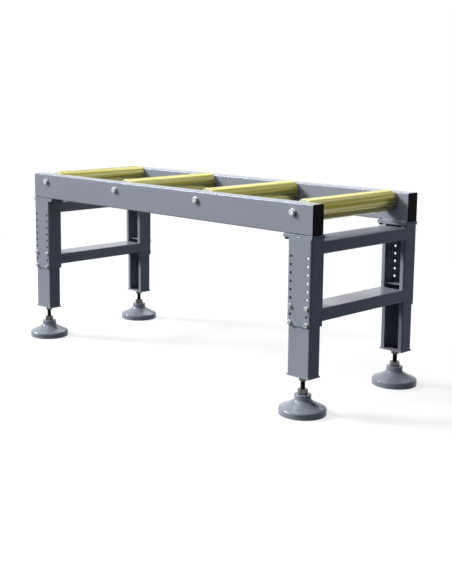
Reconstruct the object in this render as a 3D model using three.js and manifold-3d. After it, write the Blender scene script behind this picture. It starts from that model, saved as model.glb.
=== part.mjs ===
// Roller conveyor: four idler rollers between two tube rails, on two end frames with telescopic legs.
// Millimetres. +X runs along the rails, +Y from the front rail to the back rail, +Z up.
// The origin lies on the floor, midway between the four feet. The legs stand at their longest.

import * as THREE from 'three';
import { mergeVertices } from 'three/addons/utils/BufferGeometryUtils.js';
import Module from 'manifold-3d';

const wasm = await Module();
wasm.setup();

// Overall size and the fits that all pieces share.
const conveyorLength = 1500; // over the end caps of the rails
const railsWidth = 556; // over the outer faces of the rails
const seatGap = 0.3; // between two pieces that rest against each other
const boltClearance = 0.5; // a bolt hole's radius over the bolt's
const weldSink = 1; // how far a welded piece runs into the one it is welded to
const cutOverrun = 2; // how far a cutting body runs past what it cuts

// Rails: rectangular tube with a plastic plug in each end.
const railHeight = 100;
const railDepth = 50;
const railWall = 3;
const railCorner = 5;
const plugFlange = 3;
const plugWall = 2.5;
const plugReach = 18;
const plugClearance = 0.7;

// Rollers: steel tube on two pressed-in bearing caps, turning on a fixed axle.
const rollerCount = 4;
const rollerRadius = 38;
const rollerWall = 3;
const rollerEdge = 1.5;
const rollerRise = 8; // of the rollers over the rails
const endRollerInset = 84; // from the end of the rails to the first axle
const rollerSideGap = 2.4; // between a bearing cap and its rail
const bearingFlange = 3.2;
const bearingEdge = 1;
const bearingSpigot = 14;
const bearingFit = 0.45; // between the spigot and the tube's bore
const axleRadius = 10;
const axleRunningGap = 0.35;
const axleBoreDepth = 30;

// Axle bolts: a hexagon screw with its washer, through the rail and into the end of the axle.
const axleBoltRadius = 6;
const axleBoltReach = 24; // of the thread into the axle
const axleBoltTapGap = 0.4;
const axleBoltFlats = 19;
const axleBoltHead = 8;
const axleWasherRadius = 12;
const axleWasherThickness = 2.5;

// Outer legs: lipped channel, its web outwards, with two columns of adjusting holes.
const legWidth = 98;
const legDepth = 65.5;
const legWall = 3;
const legBend = 7;
const legLip = 17;
const legEndInset = 1.5; // from the end of the rails to the leg's flange
const legProud = 4; // of the web over the rail's face
const holeRows = 9;
const holePitch = 27;
const holeColumnSpacing = 69;
const holeRadius = 4.5;
const lowestRowInset = 8.5; // from the lower end of the leg
const topRowInset = 58; // from the upper end of the leg

// Mounting plates: one welded on each outer leg, one under each rail end, screwed together.
const plateThickness = 6;
const plateProud = 0.5; // of the plate over the web and over the lips
const plateTab = 21; // beyond the leg, towards the middle of the rail
const plateScrewRadius = 4;
const plateScrewFlats = 13;
const plateScrewHead = 5.3;
const plateScrewEdge = 9; // from the plate's long edges
const plateScrewShort = 1; // of the screw's end under the plate's top

// Crossbars: rectangular tube, as wide as the leg and welded to its lips.
const crossbarHeight = 43;
const crossbarWall = 3;
const crossbarCorner = 5;
const topCrossbarDrop = 6; // under the upper end of the leg
const lowCrossbarLift = 15; // over the lower end of the outer leg

// Inner legs: lipped channel that slides in the outer leg, closed by a plate at both ends.
const innerSideGap = 0.6;
const innerWebGap = 1;
const innerDepth = 54;
const innerWall = 3;
const innerBend = 5;
const innerLip = 16;
const innerTopInset = 11; // from the upper bolt row to the inner leg's upper end
const innerCapThickness = 3;
const boltRowStep = 2; // hole rows between the two bolt rows
const adjustSteps = 6; // hole rows that the leg can be pushed in by
const basePlateThickness = 5;
const basePlateOverhang = 2;
const legStopGap = 1.4; // left between the base plate and the outer leg when pushed in

// Leg bolts: a hexagon screw in each of the four holes of an inner leg.
const legBoltRadius = 4;
const legBoltFlats = 13;
const legBoltHead = 5.3;
const legBoltSeat = 1.8; // from the web to the head, for the washer
const legBoltEnd = 9.5; // of the thread inside the inner leg

// Levelling feet: a weld nut under the base plate, a threaded stud and a hollow conical pad.
const weldNutFlats = 24;
const weldNutHeight = 15;
const studRadius = 8;
const studClearance = 0.35;
const studTail = 8; // over the base plate
const studEdge = 1.5;
const screwGap = 27; // between the stud's hexagon and the weld nut
const footHexFlats = 30;
const footHexHeight = 17;
const footHexEdge = 1.5;
const neckRadius = 10;
const rivetRadius = 14;
const rivetHeight = 5;
const padRadius = 79;
const rimHeight = 22;
const rimEdge = 2;
const rimWidth = 9;
const coneHeight = 25;
const coneWall = 6;
const coneSag = 3; // of the hollow of the cone's slope
const collarRadius = 28.5;
const collarHeight = 18.5;
const collarEdge = 3;
const bossRadius = 22;

// Facets of the round pieces.
const rollerSides = 24;
const bearingSides = 16;
const padSides = 20;
const studSides = 12;
const boltSides = 8;
const bendSteps = 1;

// Levels above the floor, from the pads up.
const collarTop = rimHeight + coneHeight + collarHeight;
const bossBottom = rimHeight + coneHeight - 2 * coneWall;
const footHexBottom = collarTop + seatGap;
const footHexTop = footHexBottom + footHexHeight;
const weldNutBottom = footHexTop + screwGap;
const basePlateBottom = weldNutBottom + weldNutHeight + seatGap;
const basePlateTop = basePlateBottom + basePlateThickness;
const outerLegBottom = basePlateTop + adjustSteps * holePitch + legStopGap;
const lowestRow = outerLegBottom + lowestRowInset;
const innerLegTop = lowestRow + boltRowStep * holePitch + innerTopInset;
const outerLegTop = lowestRow + (holeRows - 1) * holePitch + topRowInset;
const railPlateBottom = outerLegTop + plateThickness + seatGap;
const railBottom = railPlateBottom + plateThickness;
const axleHeight = railBottom + railHeight + rollerRise - rollerRadius;

// Places in plan.
const railCentreY = (railsWidth - railDepth) / 2;
const railInnerY = railsWidth / 2 - railDepth;
const legFaceY = railsWidth / 2 + legProud;
const legCentreX = conveyorLength / 2 - legEndInset - legWidth / 2;
const innerWidth = legWidth - 2 * (legWall + innerSideGap);
const innerFace = legWall + innerWebGap;
const footOffset = innerFace + innerDepth / 2; // from the outer leg's web to the stud's axis
const plateLength = legEndInset + legWidth + plateTab;
const plateDepth = legDepth + 2 * plateProud;
const plateShift = (plateTab - legEndInset) / 2; // of the plate's middle from the leg's
const tabScrewX = legWidth / 2 + plateTab / 2;
const tabScrewYs = [plateScrewEdge - plateProud, legDepth + plateProud - plateScrewEdge];
const rollerPitch = (conveyorLength - 2 * endRollerInset) / (rollerCount - 1);
const firstRollerX = endRollerInset - conveyorLength / 2;
const rollerXs = Array.from({ length: rollerCount }, (_, i) => firstRollerX + i * rollerPitch);
const bearingFaceY = railInnerY - rollerSideGap;
const rollerEndY = bearingFaceY - bearingFlange - seatGap;
const axleEndY = railInnerY - seatGap;

const corners = [
  { place: 'front_left', side: -1, row: -1 },
  { place: 'front_right', side: 1, row: -1 },
  { place: 'back_left', side: -1, row: 1 },
  { place: 'back_right', side: 1, row: 1 },
];

const finishes = {
  paint: { color: 0x8d939c, roughness: 0.5, metalness: 0.1 },
  passivated: { color: 0xa9a85c, roughness: 0.35, metalness: 0.8 },
  zinc: { color: 0xc8cacc, roughness: 0.35, metalness: 0.9 },
  steel: { color: 0x9a9a98, roughness: 0.4, metalness: 0.9 },
  blackSteel: { color: 0x1b1b1c, roughness: 0.5, metalness: 0.6 },
  plastic: { color: 0x16161a, roughness: 0.6, metalness: 0 },
};

// Solids

// Turns a closed geometry into a solid whose faces point out, whichever way its triangles were wound.
function solidOf(geometry) {
  const bare = new THREE.BufferGeometry();
  bare.setAttribute('position', geometry.getAttribute('position'));
  bare.setIndex(geometry.getIndex());
  const merged = mergeVertices(bare);
  const points = merged.getAttribute('position');
  const index = Array.from(merged.getIndex().array);
  const triangles = [];
  let volume = 0;
  for (let i = 0; i < index.length; i += 3) {
    const [a, b, c] = index.slice(i, i + 3);
    if (a === b || b === c || c === a) continue;
    triangles.push(a, b, c);
    const [p, q, r] = [a, b, c].map((k) => new THREE.Vector3().fromBufferAttribute(points, k));
    volume += p.dot(q.cross(r));
  }
  if (volume < 0) triangles.reverse();
  const vertProperties = new Float32Array(points.array);
  const mesh = new wasm.Mesh({ numProp: 3, vertProperties, triVerts: new Uint32Array(triangles) });
  mesh.merge();
  return new wasm.Manifold(mesh);
}

function geometryOf(solid) {
  const { vertProperties, triVerts } = solid.getMesh();
  const geometry = new THREE.BufferGeometry();
  geometry.setAttribute('position', new THREE.BufferAttribute(vertProperties, 3));
  geometry.setIndex(new THREE.BufferAttribute(triVerts, 1));
  return geometry;
}

function joined(...geometries) {
  return geometries.map(solidOf).reduce((all, next) => all.add(next));
}

// Rounded rectangle about the origin.
function roundedRectangle(width, height, radius, PathType = THREE.Shape) {
  const [x, y] = [width / 2 - radius, height / 2 - radius];
  const path = new PathType();
  path.absarc(x, -y, radius, -Math.PI / 2, 0, false);
  path.absarc(x, y, radius, 0, Math.PI / 2, false);
  path.absarc(-x, y, radius, Math.PI / 2, Math.PI, false);
  path.absarc(-x, -y, radius, Math.PI, 1.5 * Math.PI, false);
  path.closePath();
  return path;
}

function tubeShape(width, height, wall, radius) {
  const shape = roundedRectangle(width, height, radius);
  shape.holes.push(roundedRectangle(width - 2 * wall, height - 2 * wall, radius - wall, THREE.Path));
  return shape;
}

// Lipped channel: the web's outer face on y = 0, the opening between the lips towards +y.
function channelShape(width, depth, wall, bend, lip) {
  const half = width / 2;
  const inner = bend - wall;
  const shape = new THREE.Shape();
  shape.absarc(half - bend, bend, bend, -Math.PI / 2, 0, false);
  shape.absarc(half - bend, depth - bend, bend, 0, Math.PI / 2, false);
  shape.lineTo(half - lip, depth);
  shape.lineTo(half - lip, depth - wall);
  shape.absarc(half - bend, depth - bend, inner, Math.PI / 2, 0, true);
  shape.absarc(half - bend, bend, inner, 0, -Math.PI / 2, true);
  shape.absarc(bend - half, bend, inner, 1.5 * Math.PI, Math.PI, true);
  shape.absarc(bend - half, depth - bend, inner, Math.PI, Math.PI / 2, true);
  shape.lineTo(lip - half, depth - wall);
  shape.lineTo(lip - half, depth);
  shape.absarc(bend - half, depth - bend, bend, Math.PI / 2, Math.PI, false);
  shape.absarc(bend - half, bend, bend, Math.PI, 1.5 * Math.PI, false);
  shape.closePath();
  return shape;
}

function upright(shape, bottom, top) {
  const options = { depth: top - bottom, bevelEnabled: false, curveSegments: bendSteps };
  return new THREE.ExtrudeGeometry(shape, options).translate(0, 0, bottom);
}

function box(width, depth, height, x, y, bottom) {
  return new THREE.BoxGeometry(width, depth, height).translate(x, y, bottom + height / 2);
}

// Turned body about +Z from a closed profile of [radius, height] pairs.
function turned(profile, sides) {
  const points = profile.map(([radius, height]) => new THREE.Vector2(radius, height));
  return new THREE.LatheGeometry([...points, points[0]], sides).rotateX(Math.PI / 2);
}

// Turned body about +Z whose profile starts and ends on the axis.
function turnedSolid(profile, sides) {
  const points = profile.map(([radius, height]) => new THREE.Vector2(radius, height));
  return new THREE.LatheGeometry(points, sides).rotateX(Math.PI / 2);
}

function disc(radius, bottom, top, sides) {
  const height = top - bottom;
  return new THREE.CylinderGeometry(radius, radius, height, sides).rotateX(Math.PI / 2)
    .translate(0, 0, bottom + height / 2);
}

// Hexagon prism of a given width across flats, one flat towards +y.
function hexagon(flats, bottom, top) {
  return disc(flats / Math.sqrt(3), bottom, top, 6).rotateZ(Math.PI / 2);
}

// Lays a body that was turned about +Z along +Y.
function alongY(geometry) {
  return geometry.rotateX(-Math.PI / 2);
}

// Rails

function mountingPlate(x, bottom) {
  return box(plateLength, plateDepth, plateThickness, x, legDepth / 2, bottom);
}

// Rail with the mounting plates welded under its ends; the rail's outer face looks to -y.
function railSolid() {
  const steelLength = conveyorLength - 2 * plugFlange;
  const section = tubeShape(railHeight, railDepth, railWall, railCorner);
  const tube = upright(section, -steelLength / 2, steelLength / 2).rotateY(Math.PI / 2);
  let rail = solidOf(tube.translate(0, 0, railBottom + railHeight / 2));
  const webToRail = legProud + railDepth / 2;
  for (const side of [-1, 1]) {
    const x = side * (legCentreX - plateShift);
    const plate = mountingPlate(x, railPlateBottom).translate(0, -webToRail, 0);
    const weldLength = plateLength - 2 * plugFlange;
    const weld = box(weldLength, railDepth / 2, 2 * weldSink, x, 0, railBottom - weldSink);
    rail = rail.add(solidOf(plate)).add(solidOf(weld));
    for (const y of tabScrewYs) {
      const radius = plateScrewRadius + boltClearance;
      const hole = disc(radius, railPlateBottom - cutOverrun, railBottom, boltSides);
      rail = rail.subtract(solidOf(hole.translate(side * (legCentreX - tabScrewX), y - webToRail, 0)));
    }
  }
  for (const x of rollerXs) {
    const reach = railDepth / 2 + cutOverrun;
    const hole = alongY(disc(axleBoltRadius + boltClearance, -reach, reach, boltSides));
    rail = rail.subtract(solidOf(hole.translate(x, 0, axleHeight)));
  }
  return rail;
}

// Plastic plug: a flange as large as the rail's section, and a hollow spigot in the tube.
function plugSolid() {
  const flange = upright(roundedRectangle(railHeight, railDepth, railCorner), 0, plugFlange - seatGap);
  const height = railHeight - 2 * (railWall + plugClearance);
  const depth = railDepth - 2 * (railWall + plugClearance);
  const spigot = box(height, depth, plugReach, 0, 0, weldSink - plugReach);
  const hollow = box(height - 2 * plugWall, depth - 2 * plugWall, plugReach, 0, 0, -plugReach);
  return joined(flange, spigot).subtract(solidOf(hollow));
}

// Rollers

function rollerTube() {
  const inner = rollerRadius - rollerWall;
  return turned([
    [inner, -rollerEndY], [rollerRadius - rollerEdge, -rollerEndY], [rollerRadius, rollerEdge - rollerEndY],
    [rollerRadius, rollerEndY - rollerEdge], [rollerRadius - rollerEdge, rollerEndY], [inner, rollerEndY],
  ], rollerSides);
}

// Bearing cap: spigot in the tube and a flange against its end, bored for the axle.
function bearingCap() {
  const bore = axleRadius + axleRunningGap;
  const spigotRadius = rollerRadius - rollerWall - bearingFit;
  return turned([
    [bore, -bearingSpigot], [spigotRadius, -bearingSpigot], [spigotRadius, seatGap],
    [rollerRadius - bearingEdge, seatGap], [rollerRadius - bearingEdge, seatGap + bearingFlange],
    [bore, seatGap + bearingFlange],
  ], bearingSides);
}

// Axle with a tapped bore in each end.
function axle() {
  const bore = axleBoltRadius + axleBoltTapGap;
  const depth = axleEndY - axleBoreDepth;
  return turnedSolid([
    [0, -depth], [bore, -depth], [bore, -axleEndY], [axleRadius, -axleEndY],
    [axleRadius, axleEndY], [bore, axleEndY], [bore, depth], [0, depth],
  ], studSides);
}

// Axle bolt with its washer, the axis along +z, the washer's seat on z = 0 and the head below it.
function axleBoltSolid() {
  const reach = railDepth + 2 * seatGap + axleBoltReach;
  const shank = disc(axleBoltRadius, -axleWasherThickness, reach, boltSides);
  const washer = disc(axleWasherRadius, -axleWasherThickness, 0, studSides);
  const head = hexagon(axleBoltFlats, -axleWasherThickness - axleBoltHead, weldSink - axleWasherThickness);
  return joined(shank, washer, head);
}

// Legs, each drawn with the outer leg's web on y = 0 and the opening towards +y

// Places of the adjusting holes in one row, across the web.
const holeXs = [-holeColumnSpacing / 2, holeColumnSpacing / 2];

function tabScrew(x, y) {
  const shank = disc(plateScrewRadius, outerLegTop, railBottom - plateScrewShort, boltSides);
  const head = hexagon(plateScrewFlats, outerLegTop - plateScrewHead, outerLegTop + weldSink);
  return [shank.translate(x, y, 0), head.translate(x, y, 0)];
}

// Outer leg with its top plate; tabSide says to which side of the leg the plate's tab lies.
function outerLegSolid(tabSide) {
  const section = channelShape(legWidth, legDepth, legWall, legBend, legLip);
  const channel = upright(section, outerLegBottom, outerLegTop + weldSink);
  const plate = mountingPlate(tabSide * plateShift, outerLegTop);
  const screws = tabScrewYs.flatMap((y) => tabScrew(tabSide * tabScrewX, y));
  let leg = joined(channel, plate, ...screws);
  for (let row = 0; row < holeRows; row += 1) {
    for (const x of holeXs) {
      const hole = alongY(disc(holeRadius, -cutOverrun, legWall + cutOverrun, boltSides));
      leg = leg.subtract(solidOf(hole.translate(x, 0, lowestRow + row * holePitch)));
    }
  }
  return leg;
}

// Bolt of the inner leg: its head stands outside the outer web, its thread ends inside the inner one.
function legBolt(x, z) {
  const end = innerFace + innerWall + legBoltEnd;
  const shank = disc(legBoltRadius, -legBoltSeat - weldSink, end, boltSides);
  const head = hexagon(legBoltFlats, -legBoltSeat - legBoltHead, -legBoltSeat);
  return [shank, head].map((piece) => alongY(piece).translate(x, 0, z));
}

// Inner leg: channel, cap plate between its walls, base plate with the stud's hole, its bolts, and open
// holes in the rows between them.
function innerLegSolid() {
  const section = channelShape(innerWidth, innerDepth, innerWall, innerBend, innerLip);
  const channel = upright(section, basePlateTop - weldSink, innerLegTop).translate(0, innerFace, 0);
  const capWidth = innerWidth - 2 * innerBend;
  const capDepth = innerDepth - innerWall;
  const capBottom = innerLegTop - innerCapThickness;
  const cap = box(capWidth + 2 * weldSink, capDepth, innerCapThickness, 0, footOffset, capBottom);
  const baseWidth = innerWidth + 2 * basePlateOverhang;
  const baseDepth = innerDepth + 2 * basePlateOverhang;
  const base = box(baseWidth, baseDepth, basePlateThickness, 0, footOffset, basePlateBottom);
  const boreRadius = studRadius + boltClearance;
  const bore = disc(boreRadius, basePlateBottom - cutOverrun, basePlateTop + cutOverrun, studSides);
  const rows = [lowestRow, lowestRow + boltRowStep * holePitch];
  const bolts = rows.flatMap((z) => holeXs.flatMap((x) => legBolt(x, z)));
  let leg = joined(channel, cap, base, ...bolts).subtract(solidOf(bore.translate(0, footOffset, 0)));
  const webBack = innerFace + innerWall;
  for (let row = 1; row < boltRowStep; row += 1) {
    for (const x of holeXs) {
      const hole = alongY(disc(holeRadius, innerFace - cutOverrun, webBack + cutOverrun, boltSides));
      leg = leg.subtract(solidOf(hole.translate(x, 0, lowestRow + row * holePitch)));
    }
  }
  return leg;
}

// Crossbar between the lips of two legs, lying along +y with its middle on the origin.
function crossbar() {
  const half = legFaceY - legDepth - seatGap;
  const shape = tubeShape(legWidth, crossbarHeight, crossbarWall, crossbarCorner);
  return upright(shape, -half, half).rotateX(Math.PI / 2);
}

// Feet, drawn about their own axis

function weldNutSolid() {
  const top = weldNutBottom + weldNutHeight;
  const bore = disc(studRadius + studClearance, weldNutBottom - cutOverrun, top + cutOverrun, studSides);
  return solidOf(hexagon(weldNutFlats, weldNutBottom, top)).subtract(solidOf(bore));
}

// Stud with its hexagon, the neck in the pad's collar and the riveted end under it.
function studSolid() {
  const rivetTop = bossBottom - seatGap;
  const top = basePlateTop + studTail;
  const stud = turnedSolid([
    [0, rivetTop - rivetHeight], [rivetRadius, rivetTop - rivetHeight], [rivetRadius, rivetTop],
    [neckRadius, rivetTop], [neckRadius, footHexBottom + weldSink], [studRadius, footHexTop - weldSink],
    [studRadius, top - studEdge], [studRadius - studEdge, top], [0, top],
  ], studSides);
  const corner = footHexFlats / Math.sqrt(3);
  const bevel = new THREE.CylinderGeometry(corner - footHexEdge, corner, footHexEdge, 6)
    .rotateX(Math.PI / 2).rotateZ(Math.PI / 2).translate(0, 0, footHexTop - footHexEdge / 2);
  return joined(stud, hexagon(footHexFlats, footHexBottom, footHexTop - footHexEdge), bevel);
}

// Hollow pad: upright rim, sagging cone and collar outside; a ring to stand on and a boss inside.
function pad() {
  const bore = neckRadius + studClearance;
  const coneTop = rimHeight + coneHeight;
  const slopeRadius = (padRadius + collarRadius) / 2;
  const slopeHeight = rimHeight + coneHeight / 2 - coneSag;
  return turned([
    [padRadius - rimWidth, 0], [padRadius, 0], [padRadius, rimHeight - rimEdge],
    [padRadius - rimEdge, rimHeight], [slopeRadius, slopeHeight], [collarRadius, coneTop],
    [collarRadius, collarTop - collarEdge], [collarRadius - collarEdge, collarTop], [bore, collarTop],
    [bore, bossBottom], [bossRadius, bossBottom], [slopeRadius, slopeHeight - coneWall],
    [padRadius - rimWidth, rimHeight - coneWall],
  ], padSides);
}

// Assembly

const conveyor = new THREE.Group();

function addPiece(parent, name, geometry, finish, x = 0, y = 0, z = 0) {
  const mesh = new THREE.Mesh(geometry, new THREE.MeshStandardMaterial(finishes[finish]));
  mesh.name = name;
  mesh.position.set(x, y, z);
  parent.add(mesh);
  return mesh;
}

function groupAt(x, y, turn) {
  const group = new THREE.Group();
  group.position.set(x, y, 0);
  group.rotation.z = turn;
  conveyor.add(group);
  return group;
}

function addRail(place, row) {
  const group = groupAt(0, row * railCentreY, row < 0 ? 0 : Math.PI);
  addPiece(group, `rail_${place}`, geometryOf(railSolid()), 'paint');
  for (const side of [-1, 1]) {
    const end = side * row < 0 ? 'right' : 'left';
    const plug = geometryOf(plugSolid()).rotateY(side * Math.PI / 2);
    const x = side * (conveyorLength / 2 - plugFlange + seatGap);
    addPiece(group, `end_cap_${place}_${end}`, plug, 'plastic', x, 0, railBottom + railHeight / 2);
  }
}

function addRoller(x, number) {
  const z = axleHeight;
  const tube = geometryOf(solidOf(alongY(rollerTube())));
  addPiece(conveyor, `roller_tube_${number}`, tube, 'passivated', x, 0, z);
  addPiece(conveyor, `axle_${number}`, geometryOf(solidOf(alongY(axle()))), 'steel', x, 0, z);
  for (const [place, row] of [['front', -1], ['back', 1]]) {
    const turn = row < 0 ? Math.PI : 0;
    const cap = geometryOf(solidOf(alongY(bearingCap()).rotateZ(turn)));
    addPiece(conveyor, `bearing_cap_${place}_${number}`, cap, 'plastic', x, row * rollerEndY, z);
    const bolt = alongY(geometryOf(axleBoltSolid())).rotateZ(turn + Math.PI);
    addPiece(conveyor, `axle_bolt_${place}_${number}`, bolt, 'zinc', x, row * (railsWidth / 2 + seatGap), z);
  }
}

function addLeg({ place, side, row }) {
  const group = groupAt(side * legCentreX, row * legFaceY, row < 0 ? 0 : Math.PI);
  addPiece(group, `outer_leg_${place}`, geometryOf(outerLegSolid(side * row)), 'paint');
  addPiece(group, `inner_leg_${place}`, geometryOf(innerLegSolid()), 'paint');
  addPiece(group, `weld_nut_${place}`, geometryOf(weldNutSolid()), 'paint', 0, footOffset);
  addPiece(group, `foot_stud_${place}`, geometryOf(studSolid()), 'blackSteel', 0, footOffset);
  addPiece(group, `foot_pad_${place}`, geometryOf(solidOf(pad())), 'paint', 0, footOffset);
}

function addCrossbars(place, side) {
  const levels = [
    ['top', outerLegTop - topCrossbarDrop - crossbarHeight / 2],
    ['middle', outerLegBottom + lowCrossbarLift + crossbarHeight / 2],
  ];
  for (const [level, z] of levels) {
    addPiece(conveyor, `crossbar_${level}_${place}`, crossbar(), 'paint', side * legCentreX, 0, z);
  }
}

addRail('front', -1);
addRail('back', 1);
rollerXs.forEach((x, i) => addRoller(x, i + 1));
corners.forEach(addLeg);
addCrossbars('left', -1);
addCrossbars('right', 1);

export default conveyor;
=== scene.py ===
"""Roller conveyor on four adjustable legs: its surfaces, finishes, light and camera.

Every new surface is worked out as arrays of points, in millimetres and in the same frame as the solids, and is
turned into metres once, when its mesh is made. A shape is a pair: points, and a list of face arrays.
"""

import itertools
import math

import bpy
import numpy as np
from mathutils import Matrix


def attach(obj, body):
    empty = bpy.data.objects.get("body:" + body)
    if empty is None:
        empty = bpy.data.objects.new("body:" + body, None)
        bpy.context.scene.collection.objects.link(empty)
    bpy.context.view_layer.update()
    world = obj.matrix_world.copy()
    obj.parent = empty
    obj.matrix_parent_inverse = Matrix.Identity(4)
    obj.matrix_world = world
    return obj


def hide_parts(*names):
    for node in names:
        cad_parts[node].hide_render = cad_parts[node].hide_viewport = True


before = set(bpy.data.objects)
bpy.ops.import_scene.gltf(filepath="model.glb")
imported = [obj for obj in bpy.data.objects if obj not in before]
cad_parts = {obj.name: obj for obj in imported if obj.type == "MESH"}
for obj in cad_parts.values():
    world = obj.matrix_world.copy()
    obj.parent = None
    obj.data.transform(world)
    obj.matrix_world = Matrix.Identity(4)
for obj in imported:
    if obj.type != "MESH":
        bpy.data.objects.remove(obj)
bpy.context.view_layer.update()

MM = 0.001

# Sizes in millimetres, the same as the solids have

rail_end, rail_outer, rail_inner = 747.0, 278.0, 228.0
rail_bottom, rail_top, rail_corner, rail_wall = 588.3, 688.3, 5.0, 3.0
axle_level, bolt_hole, bolt_cell = 658.3, 6.5, 9
roller_places = (-666.0, -222.0, 222.0, 666.0)
roller_radius, roller_bore, roller_half = 38.0, 35.0, 222.1
cap_end, cap_flange = 750.0, 2.7
leg_middle, leg_face = 699.5, 282.0
seat_gap = 0.3  # between solids that touch
leg_width, leg_depth, leg_lip, sheet_wall = 98.0, 65.5, 17.0, 3.0
leg_low, leg_high, leg_bend = 293.5, 576.0, 7.0
hole_side, hole_low, hole_pitch, hole_rows, hole_radius = 34.5, 302.0, 27.0, 9, 4.5
inner_width, inner_face, inner_depth, inner_lip = 90.8, 4.0, 54.0, 16.0
inner_low, inner_high, inner_bend = 130.1, 367.0, 5.0
plate_low, plate_thick, plate_outer, plate_tab, plate_depth = 576.0, 6.0, -50.5, 70.0, 66.5
tab_screw_across, tab_screw_depths = 59.5, (8.5, 57.0)
bar_half, bar_height, bar_corner = 216.2, 43.0, 5.0
bar_levels = {"top": 548.5, "middle": 330.0}
foot_inward, base_low, base_high, base_bore = 31.0, 125.1, 130.1, 8.5
stud_radius, stud_pitch, stud_top, nut_bore = 8.0, 2.0, 138.1, 8.35

# Where the weld seams run
rail_weld_far, rail_weld_near = 744.5, 641.0
leg_weld_depths = (8, 57)
bar_weld_near, bar_weld_far = 32.5, 44.5
nut_weld_radius = 12.4
weld_step = 0.7  # between the points of a seam

# A hole takes the place of a block of cells in a sheet's grid
cell_count = 8
cell_points = cell_count + 1
bend_points = 5  # in each bend of the rail's section
rim_ease = 0.35

# Shading turns sharp, and edges are rounded, over these angles
sharp_angle, bevel_angle = math.radians(32), math.radians(60)

sides = {"left": -1, "right": 1}
rows = {"front": -1, "back": 1}
places = [(f"{row}_{side}", s, r) for row, r in rows.items() for side, s in sides.items()]


# Shapes from arrays of points


def unit(v):
    return v / np.linalg.norm(v, axis=-1, keepdims=True)


def outward(shape):
    """Turns every face over if the enclosed volume, the sum of p0 . (p1 x p2) over fans of triangles, is negative."""
    points, faces = shape
    volume = 0.0
    for block in faces:
        p = points[block]
        volume += np.einsum("ki,kmi->", p[:, 0], np.cross(p[:, 1:-1], p[:, 2:]))
    return (points, [block[:, ::-1] for block in faces]) if volume < 0 else shape


def together(*shapes):
    """Several closed shapes in one mesh: points in a row, face numbers shifted past the points before them."""
    starts = np.cumsum([0] + [len(points) for points, _ in shapes[:-1]])
    faces = [block + start for (_, blocks), start in zip(shapes, starts) for block in blocks]
    return np.vstack([points for points, _ in shapes]), faces


def moved(shape, x=0.0, y=0.0, z=0.0):
    return shape[0] + np.array([x, y, z]), shape[1]


def lying(shape, way):
    """A shape that stands along z laid down to point along +y (way 1) or -y (way -1) by a quarter turn about x."""
    p = shape[0]
    return np.stack([p[:, 0], way * p[:, 2], -way * p[:, 1]], -1), shape[1]


def sideways(shape, way):
    """A shape that stands along z laid down to point along +x (way 1) or -x (way -1) by a quarter turn about y."""
    p = shape[0]
    return np.stack([way * p[:, 2], p[:, 1], -way * p[:, 0]], -1), shape[1]


def at_leg(shape, side, row):
    """From a leg's own places (towards the middle, in from the web, up) to the conveyor's."""
    p = shape[0]
    placed = np.stack([side * (leg_middle - p[:, 0]), row * (leg_face - p[:, 1]), p[:, 2]], -1)
    return outward((placed, shape[1]))


def eased(corners, radii, steps=4, closed=True):
    """Outline with rounded corners. At corner C, with u and v the directions to its neighbours, the points are
    C + r (u (1 - sin a) + v (1 - cos a)), a from 0 to 90 degrees. A corner with r = 0 stays one point."""
    corners = np.asarray(corners, float)
    radii = np.broadcast_to(np.asarray(radii, float), len(corners))
    u = unit(np.roll(corners, 1, axis=0) - corners)
    v = unit(np.roll(corners, -1, axis=0) - corners)
    a = np.linspace(0, np.pi / 2, steps + 1)[:, None]
    ends = () if closed else (0, len(corners) - 1)
    return np.vstack([
        c[None] if r == 0 or i in ends else c + r * (u[i] * (1 - np.sin(a)) + v[i] * (1 - np.cos(a)))
        for i, (c, r) in enumerate(zip(corners, radii))
    ])


def skin(rings, ends="fill"):
    """Quads from ring i to ring i + 1 and from point k to point k + 1, round each ring. The ends are filled flat, or
    joined to each other in a shape that runs back into itself."""
    rings = np.asarray(rings, float)
    n, m = rings.shape[:2]
    index = np.arange(n * m).reshape(n, m)
    a, b = (index, np.roll(index, -1, 0)) if ends == "join" else (index[:-1], index[1:])
    faces = [np.stack([a, np.roll(a, -1, 1), np.roll(b, -1, 1), b], -1).reshape(-1, 4)]
    if ends == "fill":
        faces += [index[:1, ::-1], index[-1:]]
    return outward((rings.reshape(-1, 3), faces))


def turned(profile, count=64):
    """Turned shape about z: the profile's point (r, z) gives the ring (r cos b, r sin b, z), b once round."""
    profile = np.asarray(profile, float)
    b = np.arange(count) * 2 * np.pi / count
    r, z = profile[:, :1], profile[:, 1:]
    return skin(np.stack([r * np.cos(b), r * np.sin(b), z + 0 * b], -1), "join")


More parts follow.
